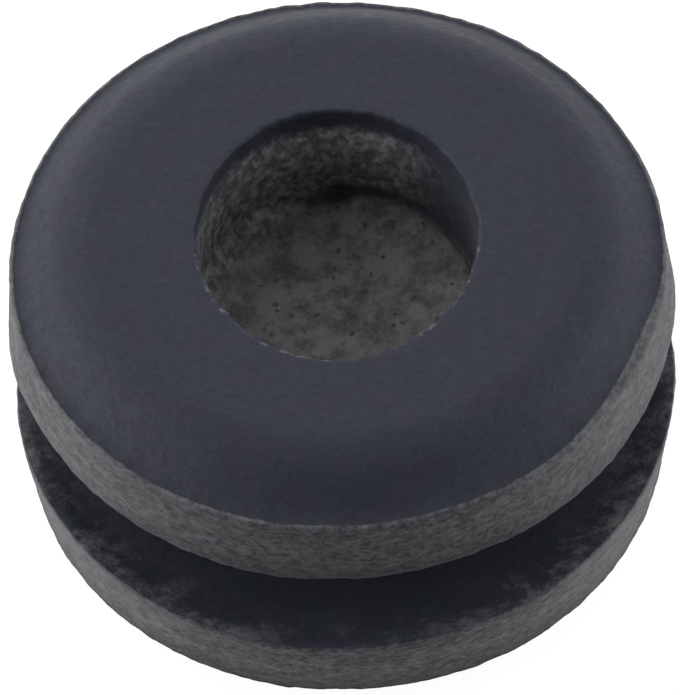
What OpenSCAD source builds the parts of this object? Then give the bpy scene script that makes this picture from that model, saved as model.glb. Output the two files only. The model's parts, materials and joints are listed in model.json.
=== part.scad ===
// Closed rubber grommet: one moulding with two round flanges, a groove between
// them that grips the edge of a panel hole, and a recess in each end. A web across
// the neck, between the recesses, closes the grommet until it is cut for a cable.
// Lengths are in millimetres. The grommet stands on its lower end face, its axis
// is Z, and the origin is the centre of that face.

/* [Flanges] */
// Diameter of both flanges over their outer bands
flange_diameter = 14; // [13:0.5:20]
// Height of the outer band on the upper flange
upper_band_height = 2; // [1.5:0.1:3]
// Height of the outer band on the lower flange
lower_band_height = 1.6; // [1.2:0.1:3]
// How far each band stands out past the shoulder beside it
band_step = 0.15; // [0.05:0.05:0.2]

/* [Shoulders] */
// Height of the slope from each band to the end face
shoulder_height = 1; // [0.9:0.1:1.2]
// Width of that slope, measured along the radius
shoulder_width = 1.15; // [0.8:0.05:1.4]
// Radius of the bend between the slope and the end face
shoulder_bend = 1.5; // [0.5:0.1:1.6]

/* [Panel groove] */
// Width of the groove, which is the thickness of panel it takes
groove_width = 2.4; // [1.6:0.1:4]
// Diameter of the neck at the bottom of the groove
neck_diameter = 10; // [8:0.5:11]

/* [Recesses and web] */
// Diameter of the recess in each end
recess_diameter = 6; // [4:0.5:6.5]
// Depth of the upper recess, from the upper end face to the web
upper_recess_depth = 3; // [1.5:0.1:3.2]
// Thickness of the web between the two recesses
web_thickness = 2.4; // [1:0.1:2.4]
// Radius of the rounded edge around the mouth of each recess
mouth_radius = 0.1; // [0.1:0.05:0.4]

/* [Hidden] */
$fn = 96;

// Overlap that lets a cutter run past the surface it cuts
cut_margin = 0.5;

flange_radius = flange_diameter / 2;
neck_radius = neck_diameter / 2;
recess_radius = recess_diameter / 2;

// Heights above the lower end face, from the bottom up
lower_band_bottom = shoulder_height;
groove_bottom = lower_band_bottom + lower_band_height;
groove_top = groove_bottom + groove_width;
upper_band_top = groove_top + upper_band_height;
total_height = upper_band_top + shoulder_height;
web_top = total_height - upper_recess_depth;
web_bottom = web_top - web_thickness;

// The slope of a shoulder runs from slope_radius, beside the band, in to
// end_face_radius. The bend that replaces the corner there starts bend_reach
// away from the corner, on the end face and on the slope.
slope_radius = flange_radius - band_step;
end_face_radius = slope_radius - shoulder_width;
slope_angle = atan2(shoulder_height, shoulder_width);
bend_reach = shoulder_bend * tan(slope_angle / 2);

// Half section of a flange and its shoulder, with its outer band starting at
// z = 0 and its end face above
module flange_section(band_height) {
    end_face = band_height + shoulder_height;
    difference() {
        polygon([
            [0, 0],
            [flange_radius, 0],
            [flange_radius, band_height],
            [slope_radius, band_height],
            [end_face_radius, end_face],
            [0, end_face]
        ]);
        translate([end_face_radius, end_face]) shoulder_corner();
        translate([recess_radius, end_face]) mouth_corner();
    }
}

// What the bend takes off the corner between the end face and the slope
module shoulder_corner() {
    difference() {
        polygon([
            [-bend_reach, 0],
            [-bend_reach, cut_margin],
            [bend_reach, cut_margin],
            [bend_reach * cos(slope_angle), -bend_reach * sin(slope_angle)]
        ]);
        translate([-bend_reach, -shoulder_bend]) circle(r = shoulder_bend);
    }
}

// What the rounded edge takes off the corner between the end face and a recess
module mouth_corner() {
    difference() {
        translate([-cut_margin, -mouth_radius])
            square([cut_margin + mouth_radius, mouth_radius + cut_margin]);
        translate([mouth_radius, -mouth_radius]) circle(r = mouth_radius);
    }
}

// Half section of the whole grommet, from the axis outwards
module grommet_section() {
    difference() {
        union() {
            translate([0, groove_top]) flange_section(upper_band_height);
            translate([0, groove_bottom]) mirror([0, 1]) flange_section(lower_band_height);
            translate([0, lower_band_bottom])
                square([neck_radius, upper_band_top - lower_band_bottom]);
        }
        translate([-cut_margin, web_top])
            square([cut_margin + recess_radius, upper_recess_depth + cut_margin]);
        translate([-cut_margin, -cut_margin])
            square([cut_margin + recess_radius, web_bottom + cut_margin]);
    }
}

// The grommet, moulded in one piece
module grommet() {
    color("#3c3e46") rotate_extrude() grommet_section();
}

grommet();
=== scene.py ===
"""Closed rubber grommet with a plain studio, laid out as a Blender add-on and run as a script.

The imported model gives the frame, the outer size and the mounts. The grommet is modelled on the
same section, with what its moulding and trimming leave on it: bands that stand proud with a rough,
wandering edge, frayed mouths, stippled recess walls and a pitted web. All lengths are in metres.
"""

import json
import math
from collections import namedtuple

import bmesh
import bpy
from bpy.props import FloatProperty, FloatVectorProperty, IntProperty, PointerProperty
from mathutils import Matrix, Vector, noise


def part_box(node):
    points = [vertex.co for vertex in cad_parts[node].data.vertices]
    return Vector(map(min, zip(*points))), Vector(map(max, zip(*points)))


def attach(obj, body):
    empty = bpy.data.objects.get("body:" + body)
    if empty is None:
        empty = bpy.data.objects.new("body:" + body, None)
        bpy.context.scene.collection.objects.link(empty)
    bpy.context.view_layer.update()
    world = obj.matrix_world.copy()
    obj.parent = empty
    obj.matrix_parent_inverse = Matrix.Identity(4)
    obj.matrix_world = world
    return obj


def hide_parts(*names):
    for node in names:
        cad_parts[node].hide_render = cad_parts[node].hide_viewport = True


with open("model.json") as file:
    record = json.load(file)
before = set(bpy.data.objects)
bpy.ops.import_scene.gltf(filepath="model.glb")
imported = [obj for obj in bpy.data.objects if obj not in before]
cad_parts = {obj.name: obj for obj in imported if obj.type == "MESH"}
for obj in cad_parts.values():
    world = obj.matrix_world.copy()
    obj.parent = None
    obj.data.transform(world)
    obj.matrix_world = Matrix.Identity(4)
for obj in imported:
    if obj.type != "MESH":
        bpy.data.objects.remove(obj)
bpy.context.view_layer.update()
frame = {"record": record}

bl_info = {
    "name": "Rubber grommet",
    "version": (1, 0, 0),
    "blender": (4, 5, 0),
    "location": "3D View > Sidebar > Grommet",
    "description": "Models a closed rubber grommet and a plain studio around it",
    "category": "Add Mesh",
}

MM = 0.001
NODE = "grommet"
BODY = "root"
PIECE = "grommet_moulding"

MOUNTS = {mount["name"]: mount for mount in frame["record"]["mounts"]}
TOP_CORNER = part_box(NODE)[1]

# The rounded edge at the mouth of each recess, which the length of its mount leaves out
MOUTH_RADIUS = 0.1 * MM

# Play in the tests that tell one face of the section from the next
SLACK = 0.01 * MM


def mount_size(mount, key):
    """A mount's size in metres."""
    return MOUNTS[mount]["dims"][key] * MM


def length(name, description, default):
    """A length that the user can set."""
    return FloatProperty(
        name=name, description=description, default=default, min=0.0, precision=6, unit="LENGTH"
    )


def number(name, description, default, unit="NONE"):
    """A number that the user can set."""
    return FloatProperty(name=name, description=description, default=default, min=0.0, unit=unit)


def angle(name, description, degrees):
    """An angle that the user can set."""
    return FloatProperty(
        name=name, description=description, default=math.radians(degrees), unit="ROTATION"
    )


def offset(name, description, default):
    """A place or a move that the user can set."""
    return FloatVectorProperty(
        name=name, description=description, default=default, precision=6, unit="LENGTH"
    )


def colour(name, description, default):
    """A linear colour that the user can set."""
    return FloatVectorProperty(
        name=name, description=description, default=default, min=0.0, max=1.0, subtype="COLOR", size=3
    )


class GrommetSizes(bpy.types.PropertyGroup):
    """The section of the grommet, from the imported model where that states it."""

    flange_radius: length("Flange radius", "Radius over the outer bands", TOP_CORNER.x)
    height: length("Height", "From the lower end face to the upper", TOP_CORNER.z)
    neck_radius: length(
        "Neck radius", "Radius at the bottom of the groove", mount_size("panel_groove", "r_mm")
    )
    groove_middle: length(
        "Groove middle", "Height of the groove's middle plane", MOUNTS["panel_groove"]["pos_m"][2]
    )
    groove_width: length(
        "Groove width", "Thickness of panel it takes", mount_size("panel_groove", "length_mm")
    )
    recess_radius: length(
        "Recess radius", "Radius of both recesses", mount_size("upper_recess", "r_mm")
    )
    upper_depth: length(
        "Upper recess depth",
        "From the upper end face to the web",
        mount_size("upper_recess", "length_mm") + MOUTH_RADIUS,
    )
    lower_depth: length(
        "Lower recess depth",
        "From the lower end face to the web",
        mount_size("lower_recess", "length_mm") + MOUTH_RADIUS,
    )
    mouth_radius: length("Mouth radius", "Rounded edge of each recess", MOUTH_RADIUS)
    shoulder_height: length("Shoulder height", "From a band up to the end face", 1.0 * MM)
    shoulder_width: length("Shoulder width", "Width of the slope along the radius", 1.15 * MM)
    shoulder_bend: length("Shoulder bend", "Bend from the slope to the end face", 1.5 * MM)
    band_step: length("Band step", "How far a band stands out past its shoulder", 0.15 * MM)
    band_draft: length(
        "Band draft", "How far the lower band narrows towards its shoulder", 0.24 * MM
    )
    lip_radius: length("Lip radius", "Rounding of a band's edge at its shoulder", 0.05 * MM)
    worn_radius: length("Worn radius", "Rounding of a band's edge at the groove", 0.28 * MM)
    crisp_radius: length("Crisp radius", "Rounding of the lower band's upper edge", 0.06 * MM)
    root_radius: length("Root radius", "Rounding of the inner corners", 0.1 * MM)


class GrommetRelief(bpy.types.PropertyGroup):
    """What moulding, trimming and handling leave on the surface."""

    steps: IntProperty(name="Steps", description="Faces round the grommet", default=480, min=24)
    fine_mesh: length("Fine mesh", "Mesh spacing on the bands", 0.068 * MM)
    wall_mesh: length("Wall mesh", "Mesh spacing in the upper recess", 0.12 * MM)
    coarse_mesh: length("Coarse mesh", "Mesh spacing on smooth and hidden faces", 0.34 * MM)
    band_wander: length("Band wander", "How far a band's edge strays up and down", 0.07 * MM)
    band_swell: length("Band swell", "How far a band swells and sinks round the flange", 0.025 * MM)
    seam_swell: length(
        "Seam swell", "How far the upper band bulges at the mould's two seams", 0.19 * MM
    )
    band_burr: length("Band burr", "How far the lower band's lip stands above the groove", 0.2 * MM)
    band_sag: length("Band sag", "How far the upper band sags on the right", 0.2 * MM)
    band_grain: length("Band grain", "Depth of the rough skin on the bands", 0.014 * MM)
    flange_shift: offset(
        "Flange shift", "How far the lower flange sits off the axis", (0.03 * MM, -0.06 * MM, 0)
    )
    rim_fray: length("Rim fray", "Raggedness of the recess mouths", 0.035 * MM)
    near_stretch: length("Near stretch", "How far the upper mouth is drawn out in front", 0.3 * MM)
    far_stretch: length("Far stretch", "How far the upper mouth is drawn out behind", 0.26 * MM)
    wall_grain: length("Wall grain", "Depth of the stipple on the recess walls", 0.03 * MM)
    web_grain: length("Web grain", "Unevenness of the web", 0.06 * MM)
    web_climb: length("Web climb", "How far the web climbs the wall on the left", 0.5 * MM)
    web_rise: length("Web rise", "How far the web rises towards the wall on the right", 0.46 * MM)
    web_crease: length("Web crease", "Depth of the crease beside the wall on the right", 0.12 * MM)
    face_waviness: length("Face waviness", "Unevenness of the smooth faces", 0.01 * MM)


class GrommetFinish(bpy.types.PropertyGroup):
    """Colours and gloss of the rubber."""

    smooth: colour(
        "Smooth rubber", "Moulded end faces, shoulders and groove", (0.021, 0.0225, 0.033)
    )
    band: colour("Band", "Rough skin of the bands", (0.073, 0.07, 0.077))
    wall: colour("Wall", "Stippled recess wall", (0.12, 0.12, 0.118))
    web: colour("Web", "Web across the neck", (0.138, 0.136, 0.128))
    # Colour of the dusting, and also of the painted sheen at the sides of the bands and the painted
    # highlight on the front rims
    dust_and_sheen: colour("Dust", "Dust and bloom on the rough places", (0.2, 0.2, 0.195))
    gloss: number("Gloss", "Specular level of the rubber", 0.27)
    sheen: number("Sheen", "Weight of the sheen on the rubber", 0.045)
    sheen_roughness: number("Sheen roughness", "How widely the sheen spreads", 0.4)
    bump: length("Bump", "Height of the finest grain", 0.05 * MM)


class GrommetStudio(bpy.types.PropertyGroup):
    """Camera, light and floor."""

    elevation: angle("Elevation", "Camera above the horizon", 53.8)
    roll: angle("Roll", "Turn of the camera about its own axis", -3.0)
    aim: offset("Aim", "Middle of the picture", (-0.05 * MM, 0, 3.87 * MM))
    distance: length("Distance", "Camera to the aim", 240 * MM)
    view_height: length("View height", "Height that the picture takes in", 14.94 * MM)
    sky: number("Sky", "Brightness overhead", 0.8)
    sides: number("Sides", "Brightness of the side walls", 4.2)
    side_focus: number("Side focus", "How closely the side walls' light gathers at the sides", 4)
    left_lift: number("Left lift", "Share that the left wall gains and the right wall loses", 0.16)
    daylight: colour("Daylight", "Tint of the walls", (0.93, 0.955, 1.0))
    lens_side: number("Lens side", "Brightness of the dark side round the lens", 0.02)
    dark_elevation: angle("Dark elevation", "Middle of the dark side above the horizon", 26)
    dark_reach: angle("Dark reach", "Angle from its middle at which the dark side starts", 68)
    dark_core: angle("Dark core", "Angle from its middle within which it is darkest", 15)
    back_light: number("Back light", "Power of the soft light behind", 0.004, "POWER")
    light_place: offset(
        "Light place", "Where the soft light hangs", (-10 * MM, 36 * MM, 40 * MM)
    )
    light_size: length("Light size", "Side of the soft light", 30 * MM)
    floor_radius: length("Floor radius", "Radius of the round floor", 600 * MM)
    floor_colour: colour("Floor", "Colour of the floor", (0.15, 0.15, 0.15))
    floor_glow: number("Floor glow", "Light from the floor itself", 0.94)
    card_place: offset("Card place", "Middle of the card in front", (0, -29 * MM, 1 * MM))
    card_size: length("Card size", "Side of the card in front", 40 * MM)
    card_colour: colour("Card", "Colour of the card in front", (0.1, 0.1, 0.1))


# ---------------------------------------------------------------------------
# Section
# ---------------------------------------------------------------------------

Corner = namedtuple("Corner", "radius height rounding segments")


def groove_faces(size):
    """Heights of the groove's lower and upper faces."""
    half = size.groove_width / 2
    return size.groove_middle - half, size.groove_middle + half


def web_faces(size):
    """Heights of the web's lower and upper faces."""
    return size.lower_depth, size.height - size.upper_depth


def band_heights(size):
    """(bottom, top) of the lower band and of the upper one."""
    groove_bottom, groove_top = groove_faces(size)
    return (size.shoulder_height, groove_bottom), (groove_top, size.height - size.shoulder_height)


def section_corners(size):
    """The corners of the half section, from the web's underside round the outside to its top."""
    slope = size.flange_radius - size.band_step
    face = slope - size.shoulder_width
    slope_angle = math.atan2(size.shoulder_height, size.shoulder_width)
    bend_reach = size.shoulder_bend * math.tan(slope_angle / 2)
    web_bottom, web_top = web_faces(size)
    (lower_bottom, lower_top), (upper_bottom, upper_top) = band_heights(size)
    return [
        Corner(0, web_bottom, 0, 0),
        Corner(size.recess_radius, web_bottom, size.root_radius, 2),
        Corner(size.recess_radius, 0, size.mouth_radius, 4),
        Corner(face, 0, bend_reach, 6),
        Corner(slope, lower_bottom, 0, 0),
        Corner(size.flange_radius - size.band_draft / 2, lower_bottom, size.lip_radius, 2),
        Corner(size.flange_radius + size.band_draft / 2, lower_top, size.crisp_radius, 2),
        Corner(size.neck_radius, lower_top, size.root_radius, 2),
        Corner(size.neck_radius, upper_bottom, size.root_radius, 2),
        Corner(size.flange_radius, upper_bottom, size.worn_radius, 5),
        Corner(size.flange_radius, upper_top, size.lip_radius, 2),
        Corner(slope, upper_top, 0, 0),
        Corner(face, size.height, bend_reach, 10),
        Corner(size.recess_radius, size.height, size.mouth_radius, 5),
        Corner(size.recess_radius, web_top, size.root_radius, 3),
        Corner(0, web_top, 0, 0),
    ]


def mesh_spacing(size, relief, radius, height):
    """The mesh spacing along the section at a point: fine where the surface is rough and seen."""
    if radius > size.flange_radius - size.band_step + SLACK:
        return relief.fine_mesh
    if radius < size.recess_radius + SLACK and height > size.groove_middle:
        return relief.wall_mesh
    return relief.coarse_mesh


def draw_section(bm, size, relief):
    """Draws the half section in the XZ plane, rounds its corners and divides its straight stretches."""
    corners = section_corners(size)
    verts = [bm.verts.new((corner.radius, 0, corner.height)) for corner in corners]
    for start, end in zip(verts, verts[1:]):
        bm.edges.new((start, end))
    for corner, vert in zip(corners, verts):
        if corner.rounding:
            bmesh.ops.bevel(
                bm,
                geom=[vert],
                offset=corner.rounding,
                offset_type="OFFSET",
                segments=corner.segments,
                profile=0.5,
                affect="VERTICES",
                material=-1,
            )
    for edge in bm.edges[:]:
        middle = (edge.verts[0].co + edge.verts[1].co) / 2
        cuts = math.ceil(edge.calc_length() / mesh_spacing(size, relief, middle.x, middle.z)) - 1
        if cuts > 0:
            bmesh.ops.subdivide_edges(bm, edges=[edge], cuts=cuts)


# ---------------------------------------------------------------------------
# Relief
# ---------------------------------------------------------------------------

# Patterns of smooth noise: the length of the largest features, the number of octaves, and a shift
# that keeps one pattern apart from the next
Pattern = namedtuple("Pattern", "scale octaves shift")
BAND_GRAIN = Pattern(0.22 * MM, 4, 5.0)
BAND_SWELL = Pattern(2.6 * MM, 2, 15.0)
LONG_WANDER = Pattern(3.2 * MM, 3, 3.7)
SHORT_WANDER = Pattern(0.45 * MM, 3, 9.1)
MOUTH_NICKS = Pattern(0.4 * MM, 4, 21.0)
WALL_STIPPLE = Pattern(0.24 * MM, 3, 8.0)
WEB_HUMPS = Pattern(1.1 * MM, 5, 2.0)
FACE_WAVES = Pattern(1.6 * MM, 2, 6.0)

# Shares of the long and of the short wander of a band's edge
LONG_SHARE = 0.8
SHORT_SHARE = 0.45

# Marks on one side of the grommet, in radians: the direction of the middle, counted from the right
# towards the back, how far to either side of it a mark is full, and over how much more it fades
Arc = namedtuple("Arc", "middle half fading")
SAG = Arc(math.radians(-22), 0, 0.8)
CLIMB = Arc(math.radians(164), 0.7, 0.5)
CREASE = Arc(math.radians(35), 0.72, 0.3)

# The seams lie on an upright plane that crosses the grommet from left to right. In shares of the
# flange's radius: its slope, how far it stands in front of the axis, and how far the swelling
# reaches to either side. The swelling is fullest at SEAM_LEVEL of the band's height.
SEAM_SLOPE = 0.07
SEAM_FORWARD = 0.19
SEAM_REACH = 0.4
SEAM_LEVEL = 0.45
SEAM_HEIGHT = 1.1 * MM

# The relief of a band starts this far in from the flange's edge and is full SKIN_EASE further out.
# Past the band's upper and lower ends it eases out over SKIN_END.
SKIN_START = 0.5 * MM
SKIN_EASE = 0.4 * MM
SKIN_END = 0.35 * MM

# Round the mouth of a recess: the width of the rim that moves with the wall, how wide and how deep
# its nicks go, and how deep its stretch goes
RIM_WIDTH = 0.6 * MM
NICK_WIDTH = 0.4 * MM
NICK_DEPTH = 0.6 * MM
STRETCH_DEPTH = 1.6 * MM

# The stipple starts below a smooth land. At the right of the recess, past FLAT_FROM of the radius,
# it eases down to FLAT_STIPPLE of its depth.
LAND_HEIGHT = 0.3 * MM
LAND_FADE = 0.3 * MM
FLAT_STIPPLE = 0.25
FLAT_FROM = 0.55
FLAT_EASE = 0.35

# How far in from the wall the web keeps still, climbs and rises, the power that hollows its climb,
# and the width of the crease's floor and of its bank
WEB_RIM = 0.3 * MM
CLIMB_WIDTH = 1.1 * MM
RISE_WIDTH = 1.8 * MM
CLIMB_HOLLOW = 1.5
CREASE_FLOOR = 0.04 * MM
CREASE_BANK = 0.12 * MM

# The relief may swell the flanges by this factor and no more
LARGEST_SWELL = 1.028


def fractal(point, pattern):
    """Smooth noise of about -1 to 1."""
    shift = Vector((pattern.shift, pattern.shift, pattern.shift))
    falloff, lacunarity = 1.0, 2.0
    return noise.fractal(point / pattern.scale + shift, falloff, lacunarity, pattern.octaves)


def fade(distance, reach):
    """1 at no distance, easing to 0 at reach."""
    share = min(abs(distance) / reach, 1.0)
    return 1 - share * share * (3 - 2 * share)


def clamped(value):
    """The value, held between 0 and 1."""
    return min(max(value, 0.0), 1.0)


def arc_share(outward, arc):
    """1 on the arc, easing to 0 past its ends."""
    turned = math.remainder(math.atan2(outward.y, outward.x) - arc.middle, math.tau)
    return fade(max(abs(turned) - arc.half, 0), arc.fading)


def ring_point(point, radius):
    """The point below or above this one on a circle in the plane of the lower end face."""
    return Vector((point.x, point.y, 0)).normalized() * radius


def band_share(radius, height, size):
    """1 on a band, 0 well away from it."""
    out = 1 - fade(max(radius - size.flange_radius + SKIN_START, 0.0), SKIN_EASE)
    past_ends = min(max(bottom - height, height - top, 0.0) for bottom, top in band_heights(size))
    return out * fade(past_ends, SKIN_END)


def seam_share(height, outward, size):
    """1 where the mould's two seams cross the middle of the upper band, 0 well away from them."""
    _, (bottom, top) = band_heights(size)
    past_seam = outward.y - SEAM_SLOPE * outward.x + SEAM_FORWARD
    past_middle = height - bottom - SEAM_LEVEL * (top - bottom)
    return fade(past_seam, SEAM_REACH) * fade(past_middle, SEAM_HEIGHT)


def edge_shift(height, outward, size, relief):
    """The lower band's lip stands up from the groove, and the upper band sags on the right."""
    (lower_bottom, lower_top), (upper_bottom, upper_top) = band_heights(size)
    if height < size.groove_middle:
        return relief.band_burr * clamped((height - lower_bottom) / (lower_top - lower_bottom))
    share = clamped((upper_top - height) / (upper_top - upper_bottom))
    return -relief.band_sag * share * arc_share(outward, SAG)


def band_relief(point, normal, share, size, relief):
    """The bands are rough, stray up and down and swell, and the upper one bulges at the seams."""
    around = ring_point(point, size.flange_radius)
    outward = around.normalized()
    grain = relief.band_grain * fractal(point, BAND_GRAIN)
    swell = relief.band_swell * fractal(point, BAND_SWELL)
    swell += relief.seam_swell * seam_share(point.z, outward, size)
    wander = LONG_SHARE * fractal(around, LONG_WANDER) + SHORT_SHARE * fractal(around, SHORT_WANDER)
    up = relief.band_wander * wander + edge_shift(point.z, outward, size, relief)
    return normal * grain * share + outward * swell * share + Vector((0, 0, up * share))


def mouth_stretch(point, outward, size, relief):
    """The upper mouth is longer from front to back than it is wide."""
    if point.z < size.groove_middle:
        return 0.0
    drawn = relief.far_stretch * outward.y if outward.y > 0 else -relief.near_stretch * outward.y**2
    past = max(math.hypot(point.x, point.y) - size.recess_radius, 0)
    return drawn * fade(size.height - point.z, STRETCH_DEPTH) * fade(past, RIM_WIDTH)


def wall_relief(point, normal, size, relief):
    """The mouth is nicked, the wall is stippled below its land, and its foot follows the web."""
    radius = math.hypot(point.x, point.y)
    depth = min(size.height - point.z, point.z)
    outward = ring_point(point, 1)
    nicks = relief.rim_fray * fractal(outward * size.recess_radius, MOUTH_NICKS)
    rim = fade(depth, NICK_DEPTH) * fade(radius - size.recess_radius, NICK_WIDTH)
    below = 1 - fade(max(depth - LAND_HEIGHT, 0), LAND_FADE)
    rough = FLAT_STIPPLE + (1 - FLAT_STIPPLE) * fade(max(outward.x - FLAT_FROM, 0), FLAT_EASE)
    stipple = normal * relief.wall_grain * below * rough * fractal(point, WALL_STIPPLE)
    up = 0.0
    if point.z > size.groove_middle:
        _, web_top = web_faces(size)
        climb = relief.web_climb * arc_share(outward, CLIMB)
        rise = (relief.web_rise - relief.web_crease) * arc_share(outward, CREASE)
        up = (climb + rise) * min((size.height - point.z) / (size.height - web_top), 1)
    drawn = mouth_stretch(point, outward, size, relief)
    return outward * nicks * rim + stipple + Vector((0, drawn, up))


def web_relief(point, normal, size, relief):
    """The web is uneven. Its top climbs the wall on the left, and ends in a crease on the right."""
    inside = size.recess_radius - math.hypot(point.x, point.y)
    uneven = relief.web_grain * fractal(point, WEB_HUMPS) * (1 - fade(inside, WEB_RIM))
    if normal.z < 0:
        return normal * uneven
    outward = ring_point(point, 1)
    left, right = arc_share(outward, CLIMB), arc_share(outward, CREASE)
    climb = relief.web_climb * left * fade(inside, CLIMB_WIDTH) ** CLIMB_HOLLOW
    crease = relief.web_crease * right * fade(max(inside - CREASE_FLOOR, 0), CREASE_BANK)
    rise = relief.web_rise * right * fade(inside, RISE_WIDTH)
    return Vector((0, 0, uneven + climb + rise - crease))


def relief_at(point, normal, size, relief):
    """How far a point of the turned shape moves."""
    radius = math.hypot(point.x, point.y)
    if radius < size.recess_radius - SLACK:
        return web_relief(point, normal, size, relief)
    if radius < size.recess_radius + RIM_WIDTH:
        return wall_relief(point, normal, size, relief)
    share = band_share(radius, point.z, size)
    groove_bottom, _ = groove_faces(size)
    shifted = fade(max(point.z - groove_bottom, 0), size.groove_width / 2)
    smooth = normal * relief.face_waviness * fractal(point, FACE_WAVES) * (1 - share)
    shift = Vector(relief.flange_shift) * shifted
    return shift + smooth + band_relief(point, normal, share, size, relief)


def roughen(bm, size, relief):
    """Gives the turned shape its relief and its wandering edges."""
    bm.normal_update()
    moves = [relief_at(vert.co, vert.normal, size, relief) for vert in bm.verts]
    for vert, move in zip(bm.verts, moves):
        vert.co += move


def keep_in_box(bm, size):
    """Keeps the end faces where they are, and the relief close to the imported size."""
    reach = LARGEST_SWELL * size.flange_radius
    for vert in bm.verts:
        vert.co.x = min(max(vert.co.x, -reach), reach)
        vert.co.y = min(max(vert.co.y, -reach), reach)
        vert.co.z = min(max(vert.co.z, 0.0), size.height)


# ---------------------------------------------------------------------------
# Materials
# ---------------------------------------------------------------------------


class Nodes:
    """A material's node tree, built a node at a time."""

    def __init__(self, name):
        self.material = bpy.data.materials.new(name)
        self.material.use_nodes = True
        self.tree = self.material.node_tree
        self.tree.nodes.clear()
        output = self.add("ShaderNodeOutputMaterial")
        self.shader = self.add("ShaderNodeBsdfPrincipled")
        self.link(self.shader.outputs["BSDF"], output.inputs["Surface"])
        self.place = self.add("ShaderNodeTexCoord").outputs["Object"]

    def add(self, kind, **settings):
        """A node with its settings."""
        made = self.tree.nodes.new(kind)
        for key, value in settings.items():
            setattr(made, key, value)
        return made

    def link(self, start, end):
        """Joins an output to an input."""
        self.tree.links.new(start, end)

    def feed(self, value, socket):
        """Gives a socket an output, a number or a colour."""
        if isinstance(value, bpy.types.NodeSocket):
            self.link(value, socket)
        elif socket.type == "RGBA":
            socket.default_value = (*value, 1)
        else:
            socket.default_value = value

    def noise(self, size, detail=4.0, roughness=0.55, shift=0.0, flat=1.0):
        """Noise of 0 to 1 whose largest features are size long, and flat times lower than wide."""
        moved = self.add("ShaderNodeMapping")
        moved.inputs["Location"].default_value = (shift, 0, 0)
        moved.inputs["Scale"].default_value = (1 / size, 1 / size, flat / size)
        self.link(self.place, moved.inputs["Vector"])
        made = self.add("ShaderNodeTexNoise")
        made.inputs["Scale"].default_value = 1
        made.inputs["Detail"].default_value = detail
        made.inputs["Roughness"].default_value = roughness
        self.link(moved.outputs["Vector"], made.inputs["Vector"])
        return made.outputs["Fac"]

    def cells(self, size):
        """Distance to the middle of the nearest cell, in cells."""
        made = self.add("ShaderNodeTexVoronoi")
        made.inputs["Scale"].default_value = 1 / size
        self.link(self.place, made.inputs["Vector"])
        return made.outputs["Distance"]

    def step(self, value, low, high, bottom=0.0, top=1.0):
        """Eases from bottom to top while value goes from low to high."""
        made = self.add("ShaderNodeMapRange", interpolation_type="SMOOTHSTEP")
        made.inputs["From Min"].default_value = low
        made.inputs["From Max"].default_value = high
        made.inputs["To Min"].default_value = bottom
        made.inputs["To Max"].default_value = top
        self.link(value, made.inputs["Value"])
        return made.outputs["Result"]

    def mix(self, share, first, second):
        """A blend of two colours, each a colour or an output."""
        made = self.add("ShaderNodeMix", data_type="RGBA")
        self.link(share, made.inputs["Factor"])
        for name, value in (("A", first), ("B", second)):
            self.feed(value, next(s for s in made.inputs if s.name == name and s.type == "RGBA"))
        return next(s for s in made.outputs if s.type == "RGBA")

    def blend(self, share, first, second):
        """A blend of two numbers, each a number or an output."""
        made = self.add("ShaderNodeMix", data_type="FLOAT")
        self.link(share, made.inputs["Factor"])
        for name, value in (("A", first), ("B", second)):
            self.feed(value, next(s for s in made.inputs if s.name == name and s.type == "VALUE"))
        return next(s for s in made.outputs if s.type == "VALUE")

    def maths(self, operation, *values):
        """A sum, product or other operation on numbers and outputs."""
        made = self.add("ShaderNodeMath", operation=operation)
        for value, socket in zip(values, made.inputs):
            self.feed(value, socket)
        return made.outputs["Value"]

    def product(self, first, *others):
        """The product of numbers and outputs."""
        for other in others:
            first = self.maths("MULTIPLY", first, other)
        return first

    def distance(self, across, along):
        """How far a point is from the axis, from its places across and along."""
        squares = self.maths("ADD", self.product(across, across), self.product(along, along))
        return self.maths("SQRT", squares)

    def from_middle(self, value, bottom, top):
        """How far a value is from the middle of a range."""
        return self.maths("ABSOLUTE", self.maths("SUBTRACT", value, (bottom + top) / 2))

    def mottled(self, share, base, dark, light):
        """A colour that goes from dark to light times the base."""
        return self.mix(share, scaled(base, dark), scaled(base, light))

    def finish(self, base, roughness, height, depth):
        """Joins colour, roughness and bump to the shader."""
        self.link(base, self.shader.inputs["Base Color"])
        self.link(roughness, self.shader.inputs["Roughness"])
        bump = self.add("ShaderNodeBump")
        bump.inputs["Distance"].default_value = depth
        self.link(height, bump.inputs["Height"])
        self.link(bump.outputs["Normal"], self.shader.inputs["Normal"])
        return self.material


def scaled(rgb, factor):
    """A colour made lighter or darker."""
    return tuple(part * factor for part in rgb)


# What the finishes know of a point: its place, its distance from the axis, the same with the
# mouth's stretch taken out, its distance up or down from the web's middle, 1 on the upper half and
# 0 below, its height above the foot of its band, and noise of -0.5 to 0.5 that frays the borders
Places = namedtuple("Places", "x y height radius mouth away upper above rag")

# The way in which the foot of the recess wall goes under the web's crease, where the crescent of painted
# shade lies
FOOT_DIRECTION = math.radians(40)


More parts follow.
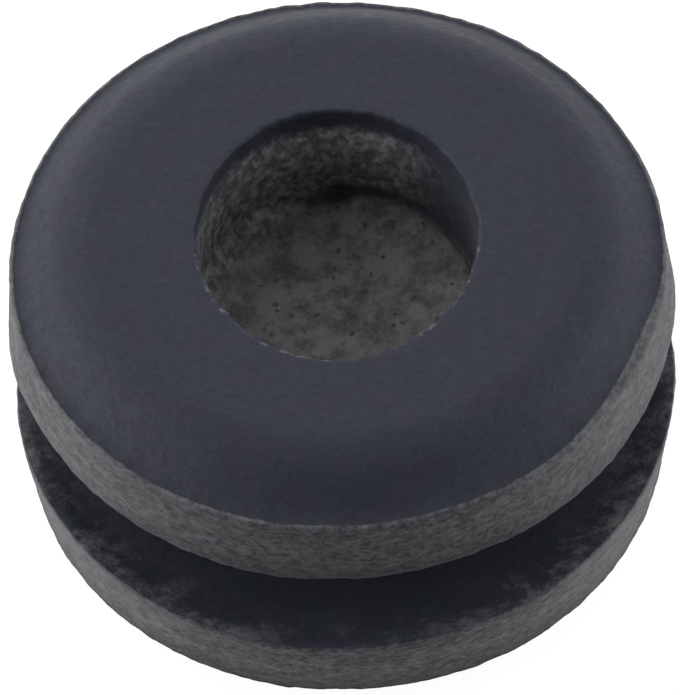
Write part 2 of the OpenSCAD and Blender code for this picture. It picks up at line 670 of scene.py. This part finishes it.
def places(nodes, size, relief):
    """The place of a point, measured in the ways that the finishes need."""
    apart = nodes.add("ShaderNodeSeparateXYZ")
    nodes.link(nodes.place, apart.inputs["Vector"])
    x, y, height = apart.outputs
    behind = nodes.maths("GREATER_THAN", y, 0.0)
    near = size.recess_radius / (size.recess_radius + relief.near_stretch)
    far = size.recess_radius / (size.recess_radius + relief.far_stretch)
    unstretched = nodes.product(y, nodes.maths("MULTIPLY_ADD", behind, far - near, near))
    (lower_bottom, _), (upper_bottom, _) = band_heights(size)
    upper = nodes.maths("GREATER_THAN", height, size.groove_middle)
    foot = nodes.maths("MULTIPLY_ADD", upper, upper_bottom - lower_bottom, lower_bottom)
    fraying = nodes.noise(0.24 * MM, detail=5.0, roughness=0.7, shift=3.0)
    return Places(
        x=x,
        y=y,
        height=height,
        radius=nodes.distance(x, y),
        mouth=nodes.distance(x, unstretched),
        away=nodes.from_middle(height, *web_faces(size)),
        upper=upper,
        above=nodes.maths("SUBTRACT", height, foot),
        rag=nodes.maths("SUBTRACT", fraying, 0.5),
    )


def band_zone(nodes, size, relief, where):
    """Share of the bands' finish. It covers the skin of both bands and ends ragged at their edges."""
    past_ends = [
        nodes.maths("SUBTRACT", nodes.from_middle(where.height, bottom, top), (top - bottom) / 2)
        for bottom, top in band_heights(size)
    ]
    level = nodes.step(nodes.maths("MINIMUM", *past_ends), 0.26 * MM, 0.34 * MM, 1.0, 0.0)

    lower = nodes.maths("SUBTRACT", 1.0, where.upper)
    shift_x, shift_y, _ = relief.flange_shift
    flange = nodes.distance(
        nodes.maths("MULTIPLY_ADD", lower, -shift_x, where.x),
        nodes.maths("MULTIPLY_ADD", lower, -shift_y, where.y),
    )
    (lower_bottom, lower_top), _ = band_heights(size)
    slope = size.band_draft / (lower_top - lower_bottom)
    draft = nodes.maths("MULTIPLY_ADD", where.above, slope, -size.band_draft / 2)
    skin = nodes.maths("MULTIPLY_ADD", lower, draft, size.flange_radius)
    inward = nodes.maths("SUBTRACT", skin, flange)

    # The skin widens over the edge of the upper flange at the right front, and under a band's foot
    to_right = nodes.step(
        where.x, 0.6 * size.flange_radius, 0.9 * size.flange_radius, 0.0, 0.16 * MM
    )
    in_front = nodes.step(where.y, -2.6 * MM, -0.6 * MM, 1.0, 0.0)
    inward = nodes.maths("SUBTRACT", inward, nodes.product(where.upper, in_front, to_right))
    under_foot = nodes.maths("MAXIMUM", nodes.product(where.above, -1.3), 0.0)
    inward = nodes.maths("SUBTRACT", inward, under_foot)
    frayed = nodes.maths("MULTIPLY_ADD", where.rag, 0.1 * MM, inward)
    return nodes.product(level, nodes.step(frayed, 0.06 * MM, 0.11 * MM, 1.0, 0.0))


def recess_zones(nodes, size, where):
    """Shares of the wall's finish and of the web's. The crease between them and the land have neither:
    the crease shows the near-black smooth rubber as painted shade.
    """
    edge = size.recess_radius
    web_bottom, web_top = web_faces(size)
    half = (web_top - web_bottom) / 2
    frayed = nodes.maths("MULTIPLY_ADD", where.rag, 0.12 * MM, where.mouth)
    recess = nodes.step(frayed, edge + 0.03 * MM, edge + 0.1 * MM, 1.0, 0.0)
    strayed = nodes.maths("MULTIPLY_ADD", where.rag, 0.5 * MM, where.away)

    # Painted shade: on the right, beside the wall and up its foot, neither the wall's finish nor the
    # web's is kept, so the near-black smooth rubber paints a crescent of shade.
    across = nodes.product(where.x, math.cos(FOOT_DIRECTION))
    toward_foot = nodes.maths("MULTIPLY_ADD", where.y, math.sin(FOOT_DIRECTION), across)
    right = nodes.step(toward_foot, 0.42 * edge, 0.66 * edge)
    raised = nodes.maths("MULTIPLY_ADD", right, -0.4 * MM, strayed)
    beside_wall = nodes.maths("MULTIPLY_ADD", where.rag, 0.2 * MM, where.radius)
    beside_wall = nodes.step(beside_wall, edge - 0.1 * MM, edge - 0.02 * MM)
    foot = nodes.step(raised, half + 0.2 * MM, half + 0.5 * MM, 0.85, 0.0)
    clear = nodes.maths("SUBTRACT", 1.0, nodes.product(right, beside_wall, foot))

    on_web = nodes.step(raised, half + 0.14 * MM, half + 0.36 * MM, 1.0, 0.0)
    # Painted shade: where the web dips into its crease, it loses its pale finish.
    outside_crease_shade = nodes.step(where.away, half - 0.24 * MM, half - 0.12 * MM)
    web = nodes.product(recess, on_web, outside_crease_shade, clear)

    land = size.height - (web_bottom + web_top) / 2 - 0.46 * MM
    below_land = nodes.step(strayed, land - 0.24 * MM, land + 0.08 * MM, 1.0, 0.0)
    left = nodes.maths("MULTIPLY_ADD", where.rag, 1.2 * MM, where.x)
    left = nodes.step(left, 0.4 * edge, 0.85 * edge, 1.0, 0.15)
    wall = nodes.product(recess, below_land, left, clear)
    return wall, web


def smooth_rubber(nodes, finish):
    """Moulded rubber: nearly black, faintly mottled, with a soft gloss."""
    red, green, blue = finish.smooth
    cool = (red * 0.84, green * 1.08, blue * 1.04)
    warm = (red * 1.14, green * 0.93, blue * 1.02)
    clouds = nodes.noise(0.8 * MM, detail=5.0, roughness=0.62)
    tone = nodes.mix(nodes.step(clouds, 0.36, 0.64), cool, warm)
    fine = nodes.noise(0.11 * MM, roughness=0.7, shift=4.0)
    speckles = nodes.mottled(nodes.step(fine, 0.3, 0.7, 0.0, 0.5), finish.smooth, 0.55, 2.4)
    grained = nodes.mix(nodes.step(fine, 0.3, 0.7, 0.15, 0.6), tone, speckles)
    height = nodes.product(nodes.noise(0.16 * MM, detail=5.0, roughness=0.7, shift=4.0), 0.5)
    rubbed = nodes.noise(0.25 * MM, roughness=0.6, shift=9.0)
    roughness = nodes.step(rubbed, 0.3, 0.7, 0.54, 0.66)
    return grained, roughness, height


def band_rubber(nodes, finish, where):
    """The rough, dusted skin of the bands, with streaks that run round them, painted sheen that makes
    them paler at the left and right, and painted shade that makes them darker towards the foot.
    """
    grain = nodes.noise(0.17 * MM, detail=5.0, roughness=0.72, flat=1.7)
    tone = nodes.mottled(nodes.step(grain, 0.36, 0.66), finish.band, 0.5, 1.45)
    # Painted sheen: the bands are made paler towards the left and right, where the light grazes them.
    # This share carries it, and it also weakens the painted shade at the foot.
    aside = nodes.step(nodes.maths("ABSOLUTE", where.x), 2.5 * MM, 6.5 * MM)
    bloom = nodes.noise(0.5 * MM, detail=6.0, roughness=0.76, shift=7.0, flat=2.2)
    dust_and_side_sheen = nodes.step(bloom, 0.44, 0.64)
    # The patches of dusting grow stronger towards the sides, partly as painted sheen.
    dust_and_side_sheen = nodes.product(dust_and_side_sheen, nodes.maths("MULTIPLY_ADD", aside, 0.14, 0.4))
    # Painted sheen at the left and right, then the patches, both in the pale dusting colour.
    tone = nodes.mix(nodes.product(aside, 0.3), tone, finish.dust_and_sheen)
    tone = nodes.mix(dust_and_side_sheen, tone, finish.dust_and_sheen)
    # Painted shade: darker towards the foot of each band, where its edge turns down away from the light,
    # and less so at the sides.
    low = nodes.step(where.above, 0.05 * MM, 0.9 * MM, 0.62, 0.0)
    low = nodes.product(low, nodes.maths("MULTIPLY_ADD", aside, -0.5, 1.0))
    roughness = nodes.step(grain, 0.3, 0.7, 0.95, 0.78)
    return nodes.mix(low, tone, scaled(finish.band, 0.35)), roughness, grain


def wall_rubber(nodes, finish, where):
    """The stippled wall of a recess, with painted light that makes it paler at the back."""
    stipple = nodes.noise(0.2 * MM, detail=3.0, roughness=0.6, shift=1.0)
    share = nodes.step(stipple, 0.36, 0.68)
    front = nodes.mottled(share, finish.wall, 0.42, 1.2)
    back = nodes.mottled(share, finish.wall, 0.72, 2.0)
    # Painted light: the wall is painted paler at the back than at the front.
    tone = nodes.mix(nodes.step(where.y, 1.9 * MM, 3.1 * MM), front, back)
    roughness = nodes.step(stipple, 0.3, 0.7, 0.85, 0.7)
    return tone, roughness, stipple


def web_rubber(nodes, finish, where):
    """The web: paler, blotched, grainy and pitted."""
    blotches = nodes.step(nodes.noise(0.75 * MM, detail=6.0, roughness=0.74), 0.38, 0.62)
    tone = nodes.mottled(blotches, finish.web, 0.5, 1.25)
    ragged = nodes.maths(
        "MULTIPLY_ADD", nodes.noise(0.1 * MM, detail=3.0), 0.7, nodes.cells(0.31 * MM)
    )
    unpitted = nodes.step(ragged, 0.42, 0.6)
    grain = nodes.noise(0.12 * MM, detail=5.0, roughness=0.75, shift=5.0)
    speckled = nodes.mix(nodes.step(grain, 0.42, 0.66, 0.0, 0.3), tone, finish.dust_and_sheen)
    height = nodes.maths("MULTIPLY_ADD", unpitted, 0.5, grain)
    roughness = nodes.step(blotches, 0.0, 1.0, 0.82, 0.92)
    return nodes.mix(unpitted, scaled(finish.web, 0.5), speckled), roughness, height


def rim_flecks_and_highlight(nodes, size, where):
    """Share of pale specks along the mouths of the recesses, most of them at the front: partly dusting,
    partly a painted highlight where the front rim catches the light.
    """
    past_rim = nodes.maths("SUBTRACT", where.mouth, size.recess_radius + 0.01 * MM)
    rim = nodes.step(nodes.maths("ABSOLUTE", past_rim), 0.05 * MM, 0.08 * MM, 1.0, 0.0)
    top = nodes.step(where.away, size.height / 2 - 0.32 * MM, size.height / 2 - 0.2 * MM)
    fleck_noise = nodes.noise(0.26 * MM, roughness=0.75, shift=12.0)
    fleck_share = nodes.step(fleck_noise, 0.52, 0.62, 0.0, 0.4)
    # Painted highlight: most specks are kept on the front rim, which catches the light from behind.
    at_front = nodes.step(where.y, -1 * MM, 1 * MM, 1.0, 0.1)
    return nodes.product(rim, top, fleck_share, at_front)


def groove_dust(nodes, size, where):
    """Share of dusting in the groove: a little all over, and patches towards the flanges' edges."""
    half = size.groove_width / 2
    inside = nodes.step(where.away, half + 0.03 * MM, half + 0.12 * MM, 1.0, 0.0)
    outer = nodes.step(where.radius, size.neck_radius + 0.8 * MM, size.flange_radius, 0.03, 0.65)
    drifts = nodes.noise(0.9 * MM, detail=8.0, roughness=0.82, shift=17.0)
    patches = nodes.step(drifts, 0.46, 0.64, 0.05, 1.0)
    sides = nodes.step(nodes.maths("ABSOLUTE", where.x), 1 * MM, 4 * MM, 0.45, 1.0)
    beyond = nodes.step(where.radius, size.recess_radius + 1 * MM, size.recess_radius + 1.2 * MM)
    return nodes.product(inside, outer, patches, sides, beyond)


def black_rubber(size, relief, finish):
    """The grommet's rubber, with a finish for each zone of the section."""
    nodes = Nodes("black_rubber")
    where = places(nodes, size, relief)
    wall, web = recess_zones(nodes, size, where)
    zones = (
        (band_zone(nodes, size, relief, where), band_rubber),
        (wall, wall_rubber),
        (web, web_rubber),
    )
    tone, roughness, height = smooth_rubber(nodes, finish)
    tone = nodes.mix(groove_dust(nodes, size, where), tone, finish.dust_and_sheen)
    for share, rubber in zones:
        zone_tone, zone_roughness, zone_height = rubber(nodes, finish, where)
        tone = nodes.mix(share, tone, zone_tone)
        roughness = nodes.blend(share, roughness, zone_roughness)
        height = nodes.blend(share, height, zone_height)
    # Pale specks on the rims: partly dusting, partly painted highlight.
    tone = nodes.mix(rim_flecks_and_highlight(nodes, size, where), tone, finish.dust_and_sheen)
    nodes.shader.inputs["Specular IOR Level"].default_value = finish.gloss
    nodes.shader.inputs["Sheen Weight"].default_value = finish.sheen
    nodes.shader.inputs["Sheen Roughness"].default_value = finish.sheen_roughness
    return nodes.finish(tone, roughness, height, finish.bump)


def paper(name, tint, gloss, glow):
    """Plain matt paper that may give light of its own."""
    material = bpy.data.materials.new(name)
    material.use_nodes = True
    shader = material.node_tree.nodes["Principled BSDF"]
    shader.inputs["Base Color"].default_value = (*tint, 1)
    shader.inputs["Roughness"].default_value = 0.9
    shader.inputs["Specular IOR Level"].default_value = gloss
    shader.inputs["Emission Color"].default_value = (1, 1, 1, 1)
    shader.inputs["Emission Strength"].default_value = glow
    return material


# ---------------------------------------------------------------------------
# Building
# ---------------------------------------------------------------------------


def turn(bm, steps):
    """Turns the section into the closed body."""
    bmesh.ops.spin(
        bm,
        geom=bm.verts[:] + bm.edges[:],
        cent=(0, 0, 0),
        axis=(0, 0, 1),
        dvec=(0, 0, 0),
        angle=math.tau,
        steps=steps,
        use_merge=True,
        use_duplicate=False,
    )
    bmesh.ops.remove_doubles(bm, verts=bm.verts[:], dist=0.0005 * MM)
    bmesh.ops.recalc_face_normals(bm, faces=bm.faces[:])


def new_piece(name, bm, material):
    """A mesh object at the origin, from a bmesh that it uses up."""
    for face in bm.faces:
        face.smooth = True
    mesh = bpy.data.meshes.new(name)
    bm.to_mesh(mesh)
    bm.free()
    mesh.materials.append(material)
    piece = bpy.data.objects.new(name, mesh)
    bpy.context.scene.collection.objects.link(piece)
    return piece


class GROMMET_OT_moulding(bpy.types.Operator):
    """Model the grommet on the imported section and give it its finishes"""

    bl_idname = "grommet.moulding"
    bl_label = "Grommet"

    def execute(self, context):
        scene = context.scene
        size, relief = scene.grommet_sizes, scene.grommet_relief
        bm = bmesh.new()
        draw_section(bm, size, relief)
        turn(bm, relief.steps)
        roughen(bm, size, relief)
        keep_in_box(bm, size)
        piece = new_piece(PIECE, bm, black_rubber(size, relief, scene.grommet_finish))
        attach(piece, BODY)
        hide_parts(NODE)
        return {"FINISHED"}


def lay_floor(studio):
    """A plain round floor, at the height of the lower end face."""
    bm = bmesh.new()
    bmesh.ops.create_circle(bm, cap_ends=True, segments=96, radius=studio.floor_radius)
    paint = paper("floor_paper", studio.floor_colour, gloss=0.1, glow=studio.floor_glow)
    new_piece("studio_floor", bm, paint)


def light_walls(studio):
    """Walls of light: bright at the sides, most on the left, with a dark side round the lens."""
    world = bpy.data.worlds.new("studio_walls")
    world.use_nodes = True
    bpy.context.scene.world = world
    tree = world.node_tree
    direction = tree.nodes.new("ShaderNodeTexCoord").outputs["Generated"]

    def node(kind, operation, *values):
        made = tree.nodes.new(kind)
        made.operation = operation
        for value, socket in zip(values, made.inputs):
            if isinstance(value, bpy.types.NodeSocket):
                tree.links.new(value, socket)
            else:
                socket.default_value = value
        return made.outputs

    def toward(*way):
        return node("ShaderNodeVectorMath", "DOT_PRODUCT", direction, way)["Value"]

    def maths(operation, *values):
        return node("ShaderNodeMath", operation, *values)["Value"]

    across = toward(1, 0, 0)
    aside = maths("POWER", maths("ABSOLUTE", across), studio.side_focus)
    sideways = maths("MULTIPLY_ADD", aside, studio.sides - studio.sky, studio.sky)
    walls = maths("MULTIPLY", sideways, maths("MULTIPLY_ADD", across, -studio.left_lift, 1.0))
    shade = tree.nodes.new("ShaderNodeMapRange")
    shade.interpolation_type = "SMOOTHSTEP"
    shade.inputs["From Min"].default_value = math.cos(studio.dark_reach)
    shade.inputs["From Max"].default_value = math.cos(studio.dark_core)
    shade.inputs["To Min"].default_value = 1
    shade.inputs["To Max"].default_value = studio.lens_side
    to_lens = toward(0, -math.cos(studio.dark_elevation), math.sin(studio.dark_elevation))
    tree.links.new(to_lens, shade.inputs["Value"])
    background = tree.nodes["Background"]
    background.inputs["Color"].default_value = (*studio.daylight, 1)
    tree.links.new(maths("MULTIPLY", walls, shade.outputs["Result"]), background.inputs["Strength"])


def lay_card(studio):
    """A dark card in front of the grommet. It isn't seen, and keeps the floor's light off the front."""
    bm = bmesh.new()
    bmesh.ops.create_grid(bm, x_segments=1, y_segments=1, size=studio.card_size / 2)
    bmesh.ops.translate(bm, verts=bm.verts[:], vec=studio.card_place)
    paint = paper("front_card", studio.card_colour, gloss=0.5, glow=0.0)
    card = new_piece("front_card", bm, paint)
    card.visible_camera = False


def hang_light(name, place, size, power):
    """A soft square light that looks at the grommet and isn't seen itself."""
    data = bpy.data.lights.new(name, "AREA")
    data.energy = power
    data.size = size
    light = bpy.data.objects.new(name, data)
    light.location = place
    light.rotation_euler = Vector(place).to_track_quat("Z", "Y").to_euler()
    light.visible_camera = False
    bpy.context.scene.collection.objects.link(light)


def set_camera(studio):
    """A long lens that looks down at the grommet."""
    data = bpy.data.cameras.new("studio_camera")
    camera = bpy.data.objects.new("studio_camera", data)
    bpy.context.scene.collection.objects.link(camera)
    back = Vector((0, -math.cos(studio.elevation), math.sin(studio.elevation)))
    turned = back.to_track_quat("Z", "Y").to_matrix() @ Matrix.Rotation(studio.roll, 3, "Z")
    stand = Vector(studio.aim) + back * studio.distance
    camera.matrix_world = Matrix.Translation(stand) @ turned.to_4x4()
    data.lens = data.sensor_width * studio.distance / studio.view_height
    data.clip_start = studio.distance / 100
    data.clip_end = studio.distance * 100
    bpy.context.scene.camera = camera


class GROMMET_OT_studio(bpy.types.Operator):
    """Lay the floor, light it softly and set the camera"""

    bl_idname = "grommet.studio"
    bl_label = "Studio"

    def execute(self, context):
        scene = context.scene
        studio = scene.grommet_studio
        scene.view_settings.view_transform = "Standard"
        lay_floor(studio)
        lay_card(studio)
        light_walls(studio)
        hang_light("back_light", studio.light_place, studio.light_size, studio.back_light)
        set_camera(studio)
        return {"FINISHED"}


class GROMMET_PT_sidebar(bpy.types.Panel):
    """The grommet's sizes, finishes and studio"""

    bl_idname = "GROMMET_PT_sidebar"
    bl_label = "Rubber grommet"
    bl_space_type = "VIEW_3D"
    bl_region_type = "UI"
    bl_category = "Grommet"

    def draw(self, context):
        for name in SETTINGS:
            box = self.layout.box()
            group = getattr(context.scene, name)
            for key in group.bl_rna.properties.keys():
                if key not in ("rna_type", "name"):
                    box.prop(group, key)
        self.layout.operator(GROMMET_OT_moulding.bl_idname)
        self.layout.operator(GROMMET_OT_studio.bl_idname)


SETTINGS = {
    "grommet_sizes": GrommetSizes,
    "grommet_relief": GrommetRelief,
    "grommet_finish": GrommetFinish,
    "grommet_studio": GrommetStudio,
}
CLASSES = (*SETTINGS.values(), GROMMET_OT_moulding, GROMMET_OT_studio, GROMMET_PT_sidebar)


def register():
    for cls in CLASSES:
        bpy.utils.register_class(cls)
    for name, group in SETTINGS.items():
        setattr(bpy.types.Scene, name, PointerProperty(type=group))


def unregister():
    for name in SETTINGS:
        delattr(bpy.types.Scene, name)
    for cls in reversed(CLASSES):
        bpy.utils.unregister_class(cls)


def main():
    """Builds everything."""
    register()
    bpy.ops.grommet.moulding()
    bpy.ops.grommet.studio()


if __name__ == "__main__":
    main()
